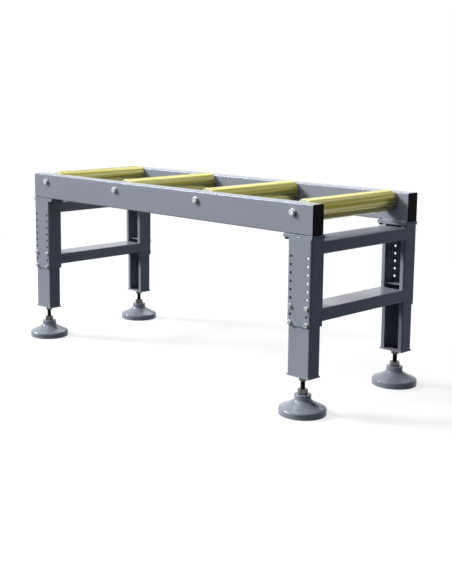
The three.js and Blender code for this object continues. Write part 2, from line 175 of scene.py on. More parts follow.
def rounded_box(low, high, corner, ease=0.8, bore=None):
    """Flat bar or plate between two corner points. Its rings are rounded rectangles, drawn in by e (1 - sin a) where
    they stand e (1 - cos a) inside the faces, a from 0 to 90 degrees. A bore (x, y, radius) joins on as further
    rings, with a point in the direction of each outline point from the bore's middle. The outline's edges are then
    cut in twelve, since its own corners alone would make the bore a rectangle."""
    (x0, y0, z0), (x1, y1, z1) = low, high
    cuts, rim = 12, 0.4
    a = np.linspace(np.pi / 2, 0, 4)
    draw, rise = ease * (1 - np.sin(a[::-1])), ease * (1 - np.cos(a[::-1]))
    draws = np.concatenate([draw, draw[::-1]])
    levels = np.concatenate([z0 + rise, z1 - rise[::-1]])

    def ring(inset, z):
        left, right, near, far = x0 + inset, x1 - inset, y0 + inset, y1 - inset
        box = [(left, near), (right, near), (right, far), (left, far)]
        outline = eased(box, max(corner - inset, 0.2), 5)
        if bore is not None:
            share = np.arange(cuts)[None, :, None] / cuts
            onward = (np.roll(outline, -1, 0) - outline)[:, None]
            outline = (outline[:, None] + onward * share).reshape(-1, 2)
        return np.column_stack([outline, np.full(len(outline), z)])

    rings = [ring(d, z) for d, z in zip(draws, levels)]
    if bore is None:
        return skin(rings)
    centre, radius = np.array(bore[:2]), bore[2]
    bearing = unit(rings[0][:, :2] - centre)
    for r, z in ((radius + rim, z1), (radius, z1 - rim), (radius, z0 + rim), (radius + rim, z0)):
        rings.append(np.column_stack([centre + r * bearing, np.full(len(bearing), z)]))
    return skin(rings, "join")


def walled(outer, inner, stations, holes=(), closed=False, radius=0.0):
    """Bent sheet or tube: an outer and an inner outline carried straight along z through the stations. Each hole
    takes the place of a square block of cells that starts at cell (i, j). The block's edge points p, in both walls,
    go to the circle c + r (p - c) / |p - c| about its middle c, with a small ease at each rim, and the bore joins
    them."""
    n, m = len(outer), len(stations)
    index = np.arange(n * m).reshape(n, m)
    along = np.broadcast_to(stations[None, :, None], (n, m, 1))
    grids = [np.concatenate([np.repeat(line[:, None], m, 1), along], -1) for line in (outer, inner)]
    points = np.concatenate([grid.reshape(-1, 3) for grid in grids])
    count = n if closed else n - 1
    i, j = np.meshgrid(np.arange(count), np.arange(m - 1), indexing="ij")
    kept = np.ones((count, m - 1), bool)
    for hi, hj in holes:
        kept[hi:hi + cell_count, hj:hj + cell_count] = False
    i, j = i[kept], j[kept]
    k = (i + 1) % n
    far = n * m
    faces = [
        np.stack([index[i, j], index[k, j], index[k, j + 1], index[i, j + 1]], -1),
        np.stack([index[i, j], index[i, j + 1], index[k, j + 1], index[k, j]], -1) + far,
    ]

    def strip(line):
        """Joins the two walls along one edge."""
        if len(line) > 1:
            faces.append(np.stack([line[1:], line[:-1], line[:-1] + far, line[1:] + far], -1))

    def loop(line):
        return np.append(line, line[0]) if closed else line

    strip(loop(index[:, 0]))
    strip(loop(index[:, -1])[::-1])
    if not closed:
        strip(index[0][::-1])
        strip(index[-1])
    for hi, hj in holes:
        i, j = np.arange(hi, hi + cell_count), np.arange(hj, hj + cell_count)
        edge = np.concatenate([
            index[i, hj], index[hi + cell_count, j],
            index[i[::-1] + 1, hj + cell_count], index[hi, j[::-1] + 1],
        ])
        rims = [points[edge], points[edge + far]]
        middles = [rim.mean(0) for rim in rims]
        through = unit(middles[1] - middles[0])
        spokes = [unit(rim - middle) for rim, middle in zip(rims, middles)]
        rings = [
            middles[0] + (radius + rim_ease) * spokes[0],
            middles[0] + radius * spokes[0] + rim_ease * through,
            middles[1] + radius * spokes[1] - rim_ease * through,
            middles[1] + (radius + rim_ease) * spokes[1],
        ]
        ids = [edge]
        for ring in rings:
            ids.append(np.arange(len(ring)) + len(points))
            points = np.concatenate([points, ring])
        ids.append(edge + far)
        for a, b in zip(ids[:-1], ids[1:]):
            faces.append(np.stack([a, np.roll(a, -1), np.roll(b, -1), b], -1))
    return outward((points, faces))


def hexagon(flats, low, high, bore=0.0, both=False, count=48):
    """Hexagon about z. At bearing b its side stands flats / 2 / cos(b - the nearest flat's bearing) from the axis,
    and outside a circle of 0.95 of the flats the ends fall away on a 30 degree cone."""
    b = np.arange(count) * 2 * np.pi / count
    r = flats / 2 / np.cos(b - np.round(b / (np.pi / 3)) * np.pi / 3)
    circle = 0.475 * flats
    drop = (r - circle) * math.tan(math.radians(30))

    def ring(radius, z):
        return np.stack([radius * np.cos(b), radius * np.sin(b), z + 0 * b], -1)

    foot = [ring(circle + 0 * b, low), ring(r, low + drop)] if both else [ring(r - 0.3, low), ring(r, low + 0.3)]
    rings = foot + [ring(r, high - drop), ring(circle + 0 * b, high)]
    if not bore:
        return skin(rings)
    rings += [ring(bore + 0.6 + 0 * b, high), ring(bore + 0 * b, high - 0.6),
              ring(bore + 0 * b, low + 0.6), ring(bore + 0.6 + 0 * b, low)]
    return skin(rings, "join")


def threaded(radius, pitch, low, high, chamfer=1.0, count=28):
    """Right-hand thread about z: the radius less 0.6 pitch times the triangle wave of z / pitch - b / 2 pi, and no
    wider than a cone at either end."""
    z = np.linspace(low, high, int((high - low) / pitch * 8) + 1)[:, None]
    b = np.arange(count)[None] * 2 * np.pi / count
    turn = z / pitch - b / (2 * np.pi)
    wave = 2 * np.abs(turn - np.round(turn))
    cone = radius - chamfer + np.minimum(z - low, high - z)
    r = np.minimum(radius - 0.6 * pitch * wave, cone)
    return skin(np.stack([r * np.cos(b), r * np.sin(b), z + 0 * b], -1))


def spaced(corners):
    """Points along a line through the corners, a weld step apart by length."""
    corners = np.asarray(corners, float)
    run = np.concatenate([[0], np.cumsum(np.linalg.norm(np.diff(corners, axis=0), axis=1))])
    d = np.linspace(0, run[-1], max(int(run[-1] / weld_step), 2) + 1)
    return np.column_stack([np.interp(d, run, corners[:, k]) for k in range(corners.shape[1])])


def bead(line, up, size, closed=False):
    """Weld bead in the corner between two faces. With b along one face (up) and a = travel x b along the other, its
    section is line + k s (a cos q + b sin q), q from 0 to 90 degrees, k a third of the way from the straight
    1 / (cos q + sin q) to the round 1. s = size (0.9 + 0.14 |sin(pi d / 2.8 + 0.35 sin 0.37 d)|) swells at each
    ripple of the torch, d being the distance along the seam, and runs out round at open ends."""
    line, up = spaced(line), np.asarray(up, float)
    if closed:
        line = line[:-1]
    travel = np.roll(line, -1, 0) - np.roll(line, 1, 0) if closed else np.gradient(line, axis=0)
    out = np.cross(unit(travel), up)
    d = np.arange(len(line)) * weld_step
    s = size * (0.9 + 0.14 * np.abs(np.sin(np.pi * d / 2.8 + 0.35 * np.sin(d * 0.37))))
    if not closed:
        near = np.minimum(d, d[-1] - d)
        s = s * np.sqrt(np.clip(near / size, 0.03, 1))
    q = np.linspace(0, np.pi / 2, 6)
    k = (2 / (np.cos(q) + np.sin(q)) + 1) / 3
    sweep = (k * np.cos(q))[None, :, None] * out[:, None] + (k * np.sin(q))[None, :, None] * up[None, None]
    root = line[:, None] - 0.25 * (out[:, None] + up[None, None])
    return skin(np.concatenate([root, line[:, None] + s[:, None, None] * sweep], 1), "join" if closed else "fill")


# Materials


def place_node(tree, kind, values=None, **settings):
    """A shader node; values go to its inputs, as numbers or as links from other nodes' outputs."""
    made = tree.nodes.new(kind)
    for key, value in settings.items():
        setattr(made, key, value)
    for key, value in (values or {}).items():
        if isinstance(value, bpy.types.NodeSocket):
            tree.links.new(value, made.inputs[key])
        else:
            made.inputs[key].default_value = value
    return made


def new_group(name, inputs, outputs):
    """An empty node group with its sockets; inputs and outputs are (name, kind, default)."""
    group = bpy.data.node_groups.new(name, "ShaderNodeTree")
    for label, kind, default in inputs:
        group.interface.new_socket(label, in_out="INPUT", socket_type="NodeSocket" + kind).default_value = default
    for label, kind in outputs:
        group.interface.new_socket(label, in_out="OUTPUT", socket_type="NodeSocket" + kind)
    return group, group.nodes.new("NodeGroupInput").outputs, group.nodes.new("NodeGroupOutput").inputs


def noise(tree, vector, scale, detail=2.0, roughness=0.5):
    values = {"Vector": vector, "Scale": scale, "Detail": detail, "Roughness": roughness}
    return place_node(tree, "ShaderNodeTexNoise", values).outputs["Fac"]


def spread(tree, value, low, high, from_low=0.3, from_high=0.7):
    """Stretches a noise's middle range onto another range."""
    values = {"Value": value, "From Min": from_low, "From Max": from_high, "To Min": low, "To Max": high}
    return place_node(tree, "ShaderNodeMapRange", values).outputs["Result"]


def mixed(tree, share, a, b):
    made = place_node(tree, "ShaderNodeMix", {"Factor": share}, data_type="RGBA")
    for socket, value in ((made.inputs[6], a), (made.inputs[7], b)):
        if isinstance(value, bpy.types.NodeSocket):
            tree.links.new(value, socket)
        else:
            socket.default_value = value
    return made.outputs[2]


def coat_group():
    """Baked-on coating: cloudy tone in broad patches, fine specks, and the orange-peel skin as a height."""
    group, given, made = new_group(
        "baked coating",
        [("Colour", "Color", (0.3, 0.3, 0.3, 1)), ("Patch", "Color", (0.25, 0.25, 0.25, 1)),
         ("Peel", "Float", 600.0)],
        [("Colour", "Color"), ("Roughness", "Float"), ("Height", "Float")],
    )
    where = place_node(group, "ShaderNodeTexCoord").outputs["Object"]
    clouds = spread(group, noise(group, where, 7.0, 3.0), 0.0, 0.55)
    specks = spread(group, noise(group, where, 1900.0, 1.0), 0.0, 0.3, 0.35, 0.8)
    tone = mixed(group, clouds, given["Colour"], given["Patch"])
    group.links.new(mixed(group, specks, tone, given["Patch"]), made["Colour"])
    group.links.new(spread(group, noise(group, where, 16.0, 4.0), 0.14, 0.2), made["Roughness"])
    group.links.new(noise(group, where, given["Peel"], 1.0), made["Height"])
    return group


def streak_group():
    """Drawn, ground or turned metal: a noise squeezed along the grain's direction gives streaks of two tones, of
    roughness and of height, and a broader one mixes a third tone in. On the rollers the two tones are also painted
    reflections, standing in for long bands of lamps mirrored along the tube."""
    group, given, made = new_group(
        "metal grain and painted streak reflections",
        [("Light", "Color", (0.7, 0.7, 0.7, 1)), ("Dark", "Color", (0.4, 0.4, 0.4, 1)),
         ("Tint", "Color", (0.5, 0.5, 0.5, 1)), ("Grain", "Vector", (1.0, 1.0, 1.0)),
         ("Smooth", "Float", 0.25), ("Rough", "Float", 0.4)],
        [("Colour", "Color"), ("Roughness", "Float"), ("Height", "Float")],
    )
    where = place_node(group, "ShaderNodeTexCoord").outputs["Object"]
    values = {0: where, 1: given["Grain"]}
    grain = place_node(group, "ShaderNodeVectorMath", values, operation="MULTIPLY").outputs["Vector"]
    broad = spread(group, noise(group, grain, 1.0, 3.0), 0.0, 1.0, 0.38, 0.6)
    fine = spread(group, noise(group, grain, 7.0, 2.0, 0.6), 0.0, 1.0)
    cloud = spread(group, noise(group, grain, 0.3, 2.0), 0.0, 0.55)
    values = {0: fine, 1: 0.35, 2: broad}
    both = place_node(group, "ShaderNodeMath", values, operation="MULTIPLY_ADD", use_clamp=True)
    tone = mixed(group, both.outputs[0], given["Light"], given["Dark"])
    group.links.new(mixed(group, cloud, tone, given["Tint"]), made["Colour"])
    values = {"Value": fine, "To Min": given["Smooth"], "To Max": given["Rough"]}
    rough = place_node(group, "ShaderNodeMapRange", values)
    group.links.new(rough.outputs["Result"], made["Roughness"])
    group.links.new(fine, made["Height"])
    return group


def moulded_group():
    """Moulded plastic: an even grain as height, with faint greying in patches."""
    group, given, made = new_group(
        "moulded skin",
        [("Colour", "Color", (0.01, 0.01, 0.01, 1)), ("Greyed", "Color", (0.03, 0.03, 0.03, 1))],
        [("Colour", "Color"), ("Roughness", "Float"), ("Height", "Float")],
    )
    where = place_node(group, "ShaderNodeTexCoord").outputs["Object"]
    cloud = spread(group, noise(group, where, 35.0, 4.0), 0.0, 0.6)
    group.links.new(mixed(group, cloud, given["Colour"], given["Greyed"]), made["Colour"])
    group.links.new(spread(group, noise(group, where, 60.0, 2.0), 0.42, 0.55), made["Roughness"])
    group.links.new(noise(group, where, 1300.0, 1.0), made["Height"])
    return group


def finish_of(name, group, values, metal, bump, depth, specular, shine=(1, 1, 1, 1)):
    """A material: the group's colour and roughness on one shader, its height through a bump. The shine colours its
    reflections: on the passivated tube that is its film's colour, and on the grey paint and the pads a bluish tint, a
    painted shade colour that turns their shaded sides blue."""
    material = bpy.data.materials.new(name)
    material.use_nodes = True
    tree = material.node_tree
    shader = tree.nodes["Principled BSDF"]
    made = place_node(tree, "ShaderNodeGroup")
    made.node_tree = group
    for key, value in values.items():
        made.inputs[key].default_value = value
    rise = place_node(tree, "ShaderNodeBump", {"Strength": bump, "Distance": depth, "Height": made.outputs["Height"]})
    tree.links.new(made.outputs["Colour"], shader.inputs["Base Color"])
    tree.links.new(made.outputs["Roughness"], shader.inputs["Roughness"])
    tree.links.new(rise.outputs["Normal"], shader.inputs["Normal"])
    shader.inputs["Metallic"].default_value = metal
    shader.inputs["Specular IOR Level"].default_value = specular
    shader.inputs["Specular Tint"].default_value = shine
    return material


coating, grain, skin_grain = coat_group(), streak_group(), moulded_group()
# Its bluish shine tints the paint's reflections of the white surroundings: painted shade colour that turns the shaded
# sides blue.
grey_paint = finish_of("grey powder coat", coating, {
    "Colour": (0.272, 0.287, 0.328, 1), "Patch": (0.253, 0.267, 0.307, 1), "Peel": 620.0},
    metal=0.0, bump=0.14, depth=0.0001, specular=0.27, shine=(0.5, 0.65, 1, 1))
# The pads take the grey paint made darker, a painted shade for the dimmer light low down, with a bluish shine that is
# painted shade colour too.
pad_paint_painted_shade = finish_of("grey paint darkened on the pads as painted shade", coating, {
    "Colour": (0.245, 0.26, 0.304, 1), "Patch": (0.227, 0.241, 0.284, 1), "Peel": 500.0},
    metal=0.0, bump=0.06, depth=0.0001, specular=0.5, shine=(0.75, 0.85, 1, 1))
# The tube's light and dark streaks along its length are partly drawn grain and partly painted reflections, standing
# in for lamps mirrored along the roller.
yellow_zinc_with_painted_reflections = finish_of("yellow passivated tube with painted reflection streaks", grain, {
    "Light": (0.7, 0.68, 0.37, 1), "Dark": (0.28, 0.245, 0.02, 1), "Tint": (0.54, 0.51, 0.13, 1),
    "Grain": (170.0, 0.9, 170.0), "Smooth": 0.2, "Rough": 0.34},
    metal=0.45, bump=0.2, depth=0.0001, specular=0.15, shine=(1, 0.96, 0.75, 1))
# The housing's pale cream, paler and greyer than the tube's yellow, is a painted highlight: it stands in for the
# brightly lit, washed-out ends of the rollers.
cap_zinc_painted_highlight = finish_of("passivated cap, paled as painted highlight", grain, {
    "Light": (0.8, 0.82, 0.62, 1), "Dark": (0.52, 0.53, 0.36, 1), "Tint": (0.68, 0.7, 0.5, 1),
    "Grain": (210.0, 210.0, 210.0), "Smooth": 0.25, "Rough": 0.4},
    metal=0.15, bump=0.15, depth=0.00005, specular=0.3)
# The zinc's strong light and dark patches are partly plating tone and partly painted reflections, standing in for the
# bright and dark surroundings mirrored on the screw heads.
bright_zinc = finish_of("bright zinc plate mottled with painted reflections", grain, {
    "Light": (0.97, 0.97, 0.98, 1), "Dark": (0.42, 0.42, 0.44, 1), "Tint": (0.78, 0.79, 0.82, 1),
    "Grain": (150.0, 150.0, 150.0), "Smooth": 0.16, "Rough": 0.28},
    metal=0.2, bump=0.15, depth=0.00005, specular=0.4)
drawn_steel = finish_of("drawn bright steel", grain, {
    "Light": (0.3, 0.29, 0.27, 1), "Dark": (0.07, 0.07, 0.068, 1), "Tint": (0.15, 0.15, 0.145, 1),
    "Grain": (420.0, 420.0, 30.0), "Smooth": 0.16, "Rough": 0.32},
    metal=0.35, bump=0.2, depth=0.00005, specular=0.4)
black_finish = finish_of("blackened steel", grain, {
    "Light": (0.02, 0.02, 0.022, 1), "Dark": (0.006, 0.006, 0.007, 1), "Tint": (0.011, 0.011, 0.013, 1),
    "Grain": (300.0, 300.0, 300.0), "Smooth": 0.3, "Rough": 0.5},
    metal=0.6, bump=0.2, depth=0.00005, specular=0.12)
black_moulding = finish_of("moulded black plastic", skin_grain, {
    "Colour": (0.002, 0.002, 0.003, 1), "Greyed": (0.004, 0.004, 0.0055, 1)},
    metal=0.0, bump=0.25, depth=0.00008, specular=0.03)

finishes = {
    "grey_paint": grey_paint,
    "yellow_passivated_steel": yellow_zinc_with_painted_reflections,
    "zinc_plated_steel": bright_zinc,
    "bright_steel": drawn_steel,
    "black_steel": black_finish,
    "black_plastic": black_moulding,
}


def piece(name, shape, body, slot, stands_for=(), edge=0.0, finish=None):
    """One object from a shape: millimetres to metres, smooth except at edges over 32 degrees, on its body. An edge
    size rounds square edges, and a finish takes the place of the slot's own."""
    points, faces = shape
    mesh = bpy.data.meshes.new(name)
    mesh.from_pydata((points * MM).tolist(), [], [face for block in faces for face in block.tolist()])
    mesh.polygons.foreach_set("use_smooth", np.ones(len(mesh.polygons), bool))
    mesh.set_sharp_from_angle(angle=sharp_angle)
    mesh.materials.append(finish or finishes[slot])
    made = bpy.data.objects.new(name, mesh)
    bpy.context.scene.collection.objects.link(made)
    if edge:
        rounding = made.modifiers.new("edges", "BEVEL")
        rounding.width, rounding.segments, rounding.angle_limit = edge * MM, 2, bevel_angle
    shading = made.modifiers.new("shading", "WEIGHTED_NORMAL")
    shading.keep_sharp = True
    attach(made, body)
    if stands_for:
        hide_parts(*stands_for)


# Rails, their end plugs and plates


def rail_outline(inset):
    """The rail's section, clockwise from the bottom of its outer side, with points at the bolt holes' cells."""
    y0, y1, z0, z1 = rail_inner + inset, rail_outer - inset, rail_bottom + inset, rail_top - inset
    bends = eased([(y1, z0), (y1, z1), (y0, z1), (y0, z0)], rail_corner - inset, bend_points - 1)
    first, second, third, fourth = bends.reshape(4, bend_points, 2)
    cell = axle_level + np.linspace(-bolt_cell, bolt_cell, cell_points)
    outer = np.column_stack([np.full(cell_points, y1), cell])
    inner = np.column_stack([np.full(cell_points, y0), cell[::-1]])
    return np.vstack([first, outer, second, third, inner, fourth])


def rail(row):
    """Rectangular tube with a hole through both walls at each roller: section (y, z) carried along x."""
    cells = np.concatenate([x + np.linspace(-bolt_cell, bolt_cell, cell_points) for x in roller_places])
    stations = np.concatenate([[-rail_end], cells, [rail_end]])
    starts = (bend_points, 3 * bend_points + cell_points)
    holes = [(i, 1 + cell_points * n) for n in range(len(roller_places)) for i in starts]
    tube = walled(rail_outline(0), rail_outline(rail_wall), stations, holes, True, bolt_hole)
    p = tube[0]
    return outward((np.stack([p[:, 2], row * p[:, 0], p[:, 1]], -1), tube[1]))


def end_plug(row, side):
    """Flange over the tube's end, with the hollow spigot behind it."""
    middle = (rail_bottom + rail_top) / 2
    flange = rounded_box((-50, -25, 0), (50, 25, cap_flange), rail_corner, 1.1)
    outer = eased([(-46.3, -21.3), (46.3, -21.3), (46.3, 21.3), (-46.3, 21.3)], 1.5, 3)
    inner = eased([(-43.8, -18.8), (43.8, -18.8), (43.8, 18.8), (-43.8, 18.8)], 0.8, 3)
    spigot = walled(outer, inner, np.array([-17.0, 0.2]), closed=True)
    plug = sideways(together(flange, spigot), side)
    return moved(plug, side * (cap_end - cap_flange), row * (rail_inner + 25), middle)


def leg_plate(bottom):
    """Mounting plate over a leg, with its tab towards the conveyor's middle, in the leg's places."""
    return rounded_box((plate_outer, -0.5, bottom), (plate_tab, plate_depth - 0.5, bottom + plate_thick), 2.0, 1.0)


for row_name, row in rows.items():
    piece(f"rail_tube_{row_name}", rail(row), "frame", "grey_paint", [f"rail_{row_name}"], 0.4)
    for side_name, side in sides.items():
        node_name = f"end_cap_{row_name}_{side_name}"
        piece(f"end_plug_{row_name}_{side_name}", end_plug(row, side), "frame", "black_plastic", [node_name])
        plate = at_leg(leg_plate(plate_low + plate_thick + seat_gap), side, row)
        piece(f"rail_plate_{row_name}_{side_name}", plate, "frame", "grey_paint")
        ends = (rail_weld_near, rail_weld_far) if side * row > 0 else (rail_weld_far, rail_weld_near)
        seam = bead([(side * x, row * rail_inner, rail_bottom) for x in ends], (0, 0, 1), 4.2)
        piece(f"rail_weld_{row_name}_{side_name}", seam, "frame", "grey_paint")


# Rollers with their bearings, axles and bolts


def roller_tube():
    """Drawn tube about z, cut square, with its outer edges broken."""
    r, b, h = roller_radius, roller_bore, roller_half
    return turned(eased([(r, -h), (r, h), (b, h), (b, -h)], [1.2, 1.2, 0.4, 0.4], 4), 128)


def bearing_housing():
    """Pressed housing about z, z = 0 at the tube's end: a cup in the tube with a collar over the tube's end, and the
    bearing's seat round the axle."""
    corners = [(10.35, -13.6), (34.55, -13.6), (34.55, 0.3), (37.0, 0.3), (37.0, 2.2), (25.6, 2.2), (24.8, -3.3),
               (20.4, -3.3), (19.4, -1.6), (10.35, -1.6)]
    return turned(eased(corners, [0.4, 1.5, 0.2, 0.3, 0.9, 0.9, 1.2, 0.8, 0.8, 0.3], 3), 96)


def bearing_seal():
    """Seal cover about z: a flat ring just inside the housing's collar, a groove, and the raised hub at the axle."""
    corners = [(10.35, -1.4), (19.6, -1.4), (20.6, -3.1), (24.3, -3.1), (24.3, 2.5), (22.8, 3.4), (19.4, 3.4),
               (18.6, 1.5), (15.2, 1.5), (14.2, 3.1), (10.35, 3.1)]
    return turned(eased(corners, [0.2, 0.5, 0.5, 0.4, 0.8, 0.7, 0.5, 0.6, 0.6, 0.5, 0.3], 3), 96)


def axle_tube():
    """Bright axle about z, bored for its two bolts."""
    corners = [(10, -227.7), (10, 227.7), (6.4, 227.7), (6.4, -227.7)]
    return turned(eased(corners, [0.9, 0.9, 0.5, 0.5], 3), 64)


def axle_bolt():
    """Hexagon screw about z, z = 0 where its washer meets the rail: washer, washer face, head and shank."""
    washer = turned(eased([(6.6, 0), (12, 0), (12, 2.4), (6.6, 2.4)], [0.2, 0.2, 0.6, 0.3], 3), 64)
    face = turned(eased([(0.5, 2.4), (8.9, 2.4), (8.9, 3.0), (0.5, 3.0)], [0.1, 0.1, 0.2, 0.1], 2), 48)
    head = hexagon(19, 2.9, 10.2)
    shank = turned(eased([(0.5, -74.6), (6, -74.6), (6, 2.5), (0.5, 2.5)], [0.1, 1.0, 0.1, 0.1], 2), 40)
    return together(washer, face, head, shank)


for number, x in enumerate(roller_places, 1):
    tube = moved(lying(roller_tube(), 1), x, 0, axle_level)
    # The shell's lengthwise streaks are partly grain, partly painted reflections of lamps.
    piece(f"roller_shell_{number}", tube, f"roller_{number}", "yellow_passivated_steel", [f"roller_tube_{number}"])
    axle = moved(lying(axle_tube(), 1), x, 0, axle_level)
    piece(f"roller_axle_{number}", axle, "frame", "bright_steel", [f"axle_{number}"])
    for row_name, row in rows.items():
        cap = moved(lying(bearing_housing(), row), x, row * roller_half, axle_level)
        node_name = f"bearing_cap_{row_name}_{number}"
        # The housing takes the pale finish, a painted highlight, in place of the tube's yellow.
        piece(f"bearing_housing_{row_name}_{number}", cap, f"roller_{number}", "yellow_passivated_steel", [node_name],
              finish=cap_zinc_painted_highlight)
        seal = moved(lying(bearing_seal(), row), x, row * roller_half, axle_level)
        piece(f"bearing_seal_{row_name}_{number}", seal, f"roller_{number}", "black_plastic")
        bolt = moved(lying(axle_bolt(), row), x, row * (rail_outer + seat_gap), axle_level)
        node_name = f"axle_bolt_{row_name}_{number}"
        piece(f"axle_screw_{row_name}_{number}", bolt, "frame", "zinc_plated_steel", [node_name])


# Legs, in a leg's own places: towards the middle, in from the web, up


def lipped_channel(width, face, depth, lip, bend, inset, cell):
    """Section of a lipped channel from lip to lip, drawn in by inset from its outer face. The web carries the points
    of the two hole columns' cells."""
    half, back, front = width / 2 - inset, face + inset, face + depth - inset
    arm = eased([(half - lip + inset, front), (half, front), (half, back), (0, back)], bend - inset, 5, False)[:-1]
    column = np.linspace(hole_side + cell, hole_side - cell, cell_points)
    web = np.column_stack([np.concatenate([column, -column[::-1]]), np.full(2 * cell_points, back)])
    return np.vstack([arm, web, arm[::-1] * (-1, 1)]), len(arm)


def channel(width, face, depth, lip, bend, low, high, levels, cell):
    """A lipped channel with round holes in both columns of its web at the given levels."""
    outer, first = lipped_channel(width, face, depth, lip, bend, 0.0, cell)
    inner, _ = lipped_channel(width, face, depth, lip, bend, sheet_wall, cell)
    stations = np.concatenate([[low], *[z + np.linspace(-cell, cell, cell_points) for z in levels], [high]])
    holes = [(i, 1 + cell_points * n) for n in range(len(levels)) for i in (first, first + cell_points)]
    return walled(outer, inner, stations, holes, radius=hole_radius)


def outer_leg():
    levels = hole_low + hole_pitch * np.arange(hole_rows)
    return channel(leg_width, 0.0, leg_depth, leg_lip, leg_bend, leg_low, leg_high, levels, 7.0)


def inner_leg():
    levels = hole_low + hole_pitch * np.arange(3)
    return channel(inner_width, inner_face, inner_depth, inner_lip, inner_bend, inner_low, inner_high, levels, 5.6)


def leg_screw():
    """Low round-headed screw with its hexagon socket, about z, z = 0 on the leg's web: washer, head, and inside the
    leg the nut and the threaded end."""
    washer = turned(eased([(4.3, 0.3), (8, 0.3), (8, 1.8), (4.3, 1.8)], [0.2, 0.2, 0.4, 0.2], 3), 48)
    b = np.arange(48) * 2 * np.pi / 48
    socket = 2.9 / np.cos(b - np.round(b / (np.pi / 3)) * np.pi / 3)
    rings = [(6.2 + 0 * b, 1.8), (6.5 + 0 * b, 2.1), (6.5 + 0 * b, 6.3), (6.3 + 0 * b, 6.8), (5.8 + 0 * b, 7.1),
             (socket + 0.3, 7.1), (socket, 6.8), (socket, 3.6)]
    head = skin([np.stack([r * np.cos(b), r * np.sin(b), z + 0 * b], -1) for r, z in rings])
    shank = turned(eased([(0.5, -8), (4, -8), (4, 2), (0.5, 2)], [0.1, 0.1, 0.1, 0.1], 2), 32)
    nut = hexagon(13, -13.5, -7.2, 3.6, both=True)
    tail = threaded(4.0, 1.25, -16.5, -7.5, 0.9)
    return together(washer, head, shank, nut, tail)


def bar_section(inset):
    x, z = leg_width / 2 - inset, bar_height / 2 - inset
    return eased([(-x, -z), (x, -z), (x, z), (-x, z)], bar_corner - inset, 5)


def crossbar():
    """Rectangular tube carried along y between the two legs' lips."""
    return lying(walled(bar_section(0), bar_section(sheet_wall), np.array([-bar_half, bar_half]), closed=True), 1)


def bar_welds(level):
    """Beads over and under both ends of a crossbar where they meet the lips, about the leg's middle."""
    beads = []
    for way, hand, up in itertools.product((-1, 1), repeat=3):
        ends = (bar_weld_near, bar_weld_far) if hand * way * up < 0 else (bar_weld_far, bar_weld_near)
        line = [(hand * x, way * (bar_half + seat_gap), up * bar_height / 2) for x in ends]
        beads.append(bead(line, (0, -way, 0), 2.7))
    return moved(together(*beads), z=level)


def ground_seams(level):
    """Weld ground flush where a crossbar's side meets the leg's outer bend. Its section fills the corner between the
    bend's arc (42 + 6.7 sin a, 58.5 + 6.7 cos a), a from 90 degrees to 0, and the crossbar's end, and its outer side
    is x = 49 + 0.05 sin(2 pi z / 3), the grinding marks."""
    z = np.linspace(-bar_height / 2 + 1.5, bar_height / 2 - 1.5, 49)[:, None]
    a = np.linspace(np.pi / 2, 0, 7)[None]
    mark = 0.05 * np.sin(2 * np.pi * z / 3.0)
    arc = np.stack([42 + 6.7 * np.sin(a) + 0 * z, 58.5 + 6.7 * np.cos(a) + 0 * z, z + 0 * a], -1)
    corners = ((42, 66.6, 0), (48.2, 66.6, 0), (49.0, 66.0, 1), (49.05, 62.0, 1), (48.9, 59.4, 1))
    side = [np.stack([x + share * mark, depth + 0 * z, z], -1) for x, depth, share in corners]
    seam = skin(np.concatenate([arc] + side, 1))
    seams = []
    for row in rows.values():
        for hand in (-1, 1):
            p = seam[0] * (hand, 1, 1)
            placed = np.stack([p[:, 0], row * (leg_face - p[:, 1]), p[:, 2] + level], -1)
            seams.append(outward((placed, seam[1])))
    return together(*seams)


def tab_screws(side, row):
    """The washers and heads of the two screws up through the tab."""
    screws = []
    for inward in tab_screw_depths:
        washer = turned(eased([(4.3, 0), (8, 0), (8, 1.5), (4.3, 1.5)], [0.2, 0.2, 0.4, 0.2], 3), 40)
        screw = together(washer, hexagon(13, 1.4, 6.6))
        x, y = side * (leg_middle - tab_screw_across), row * (leg_face - inward)
        upside = (screw[0] * (1, -1, -1), screw[1])
        screws.append(moved(upside, x, y, plate_low))
    return together(*screws)


for name, side, row in places:
    piece(f"leg_channel_{name}", at_leg(outer_leg(), side, row), "frame", "grey_paint", [f"outer_leg_{name}"], 0.4)
    piece(f"leg_plate_{name}", at_leg(leg_plate(plate_low), side, row), "frame", "grey_paint")
    # The tab screws are blackened so that they read dark under the tab, where the darkness is only shade: painted
    # shade.
    piece(f"tab_screws_{name}", tab_screws(side, row), "frame", "black_steel")
    seam = [(side * (leg_middle - leg_width / 2), row * (leg_face - d), plate_low) for d in leg_weld_depths]
    seam = seam if side * row < 0 else seam[::-1]
    piece(f"leg_weld_{name}", bead(seam, (0, 0, -1), 2.6), "frame", "grey_paint")

    slide = f"leg_{name}"
    piece(f"sliding_channel_{name}", at_leg(inner_leg(), side, row), slide, "grey_paint", [f"inner_leg_{name}"], 0.4)
    cap = rounded_box((-42, 7.2, inner_high - sheet_wall), (42, 55, inner_high), 2.0, 0.5)
    piece(f"sliding_cap_{name}", at_leg(cap, side, row), slide, "grey_paint")
    base = rounded_box((-47.4, 2, base_low), (47.4, 60, base_high), 2.0, 0.6, (0, foot_inward, base_bore))
    piece(f"base_plate_{name}", at_leg(base, side, row), slide, "grey_paint")
    holes = itertools.product((hole_low, hole_low + 2 * hole_pitch), (-hole_side, hole_side))
    for number, (level, across) in enumerate(holes, 1):
        screw = moved(lying(leg_screw(), row), side * leg_middle + across, row * leg_face, level)
        piece(f"leg_screw_{name}_{number}", screw, slide, "zinc_plated_steel")

